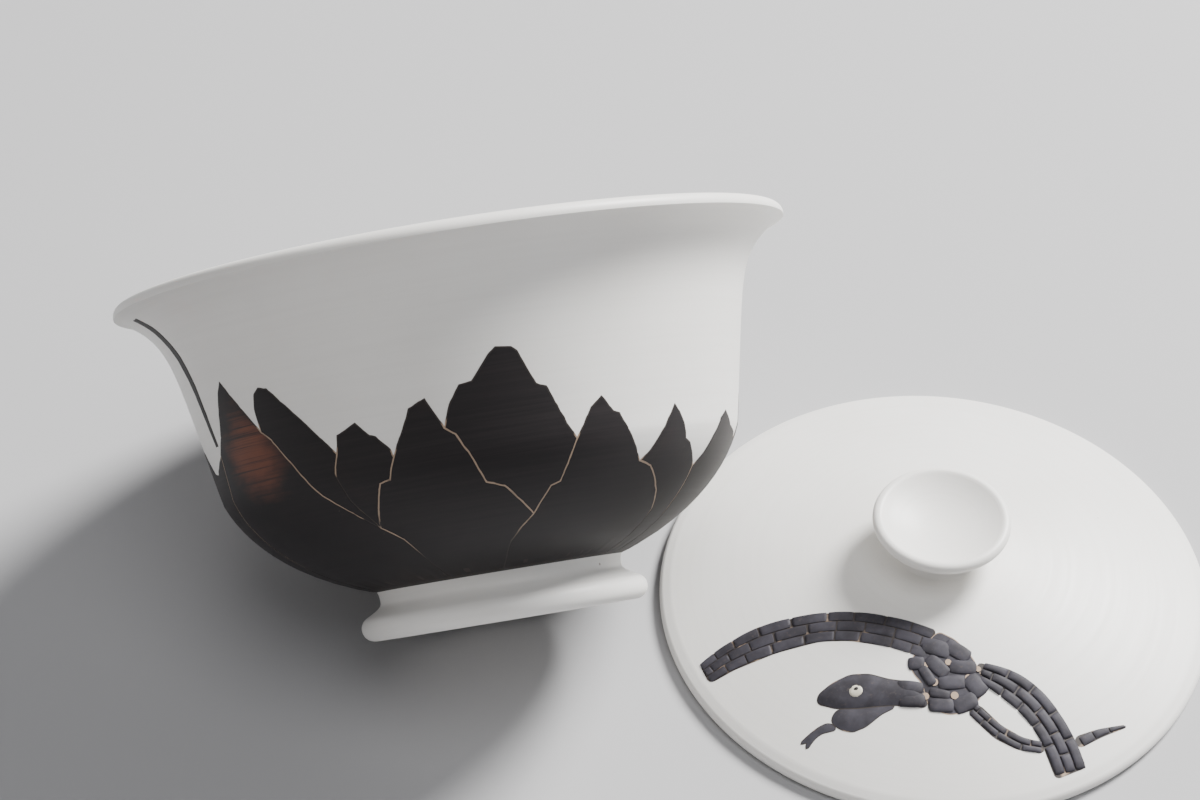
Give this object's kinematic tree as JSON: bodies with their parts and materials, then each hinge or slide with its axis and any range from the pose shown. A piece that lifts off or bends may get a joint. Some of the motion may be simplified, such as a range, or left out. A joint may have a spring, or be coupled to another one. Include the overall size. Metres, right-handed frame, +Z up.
{
  "type": "gaiwan",
  "caption": "Lidded tea bowl of white clay with inlaid dark mountains and a snake on the lid; the bowl lies tipped on its belly, its lid beside it.",
  "frame": {"origin": "middle of the footprint of the tipped bowl and the lid beside it, on the surface they lie on", "axes": "+X from the bowl to the lid, +Y the way the tipped bowl's mouth leans, +Z up"},
  "size_m": [0.153, 0.1074, 0.0843],
  "materials": {
    "white_clay": "satin matt, smooth turned",
    "dark_clay": "satin, fine turning lines",
    "slate_clay": "matt, carved scales",
    "ivory_clay": "matt"
  },
  "bodies": {
    "bowl": {"bowl_wall": "white_clay", "foot_ring": "white_clay", "mountain_01": "dark_clay", "mountain_02": "dark_clay", "mountain_03": "dark_clay", "mountain_04": "dark_clay", "mountain_05": "dark_clay", "mountain_06": "dark_clay", "mountain_07": "dark_clay", "mountain_08": "dark_clay", "mountain_09": "dark_clay", "mountain_10": "dark_clay", "mountain_11": "dark_clay", "mountain_12": "dark_clay", "mountain_13": "dark_clay", "mountain_14": "dark_clay", "rim_line": "dark_clay"},
    "lid": {"lid_dome": "white_clay", "lid_knob": "white_clay", "snake_arch_left": "slate_clay", "snake_arch_right": "slate_clay", "snake_coil": "slate_clay", "snake_head": "slate_clay", "snake_jaw": "slate_clay", "snake_tongue": "slate_clay", "snake_tail": "slate_clay", "snake_tail_tip": "slate_clay", "snake_eye": "ivory_clay"}
  },
  "joints": [
    {"name": "lid_lift", "type": "slide", "parent": "bowl", "child": "lid", "axis": [0.5, 0, 0.866], "range_m": [0, 0.12]}
  ]
}
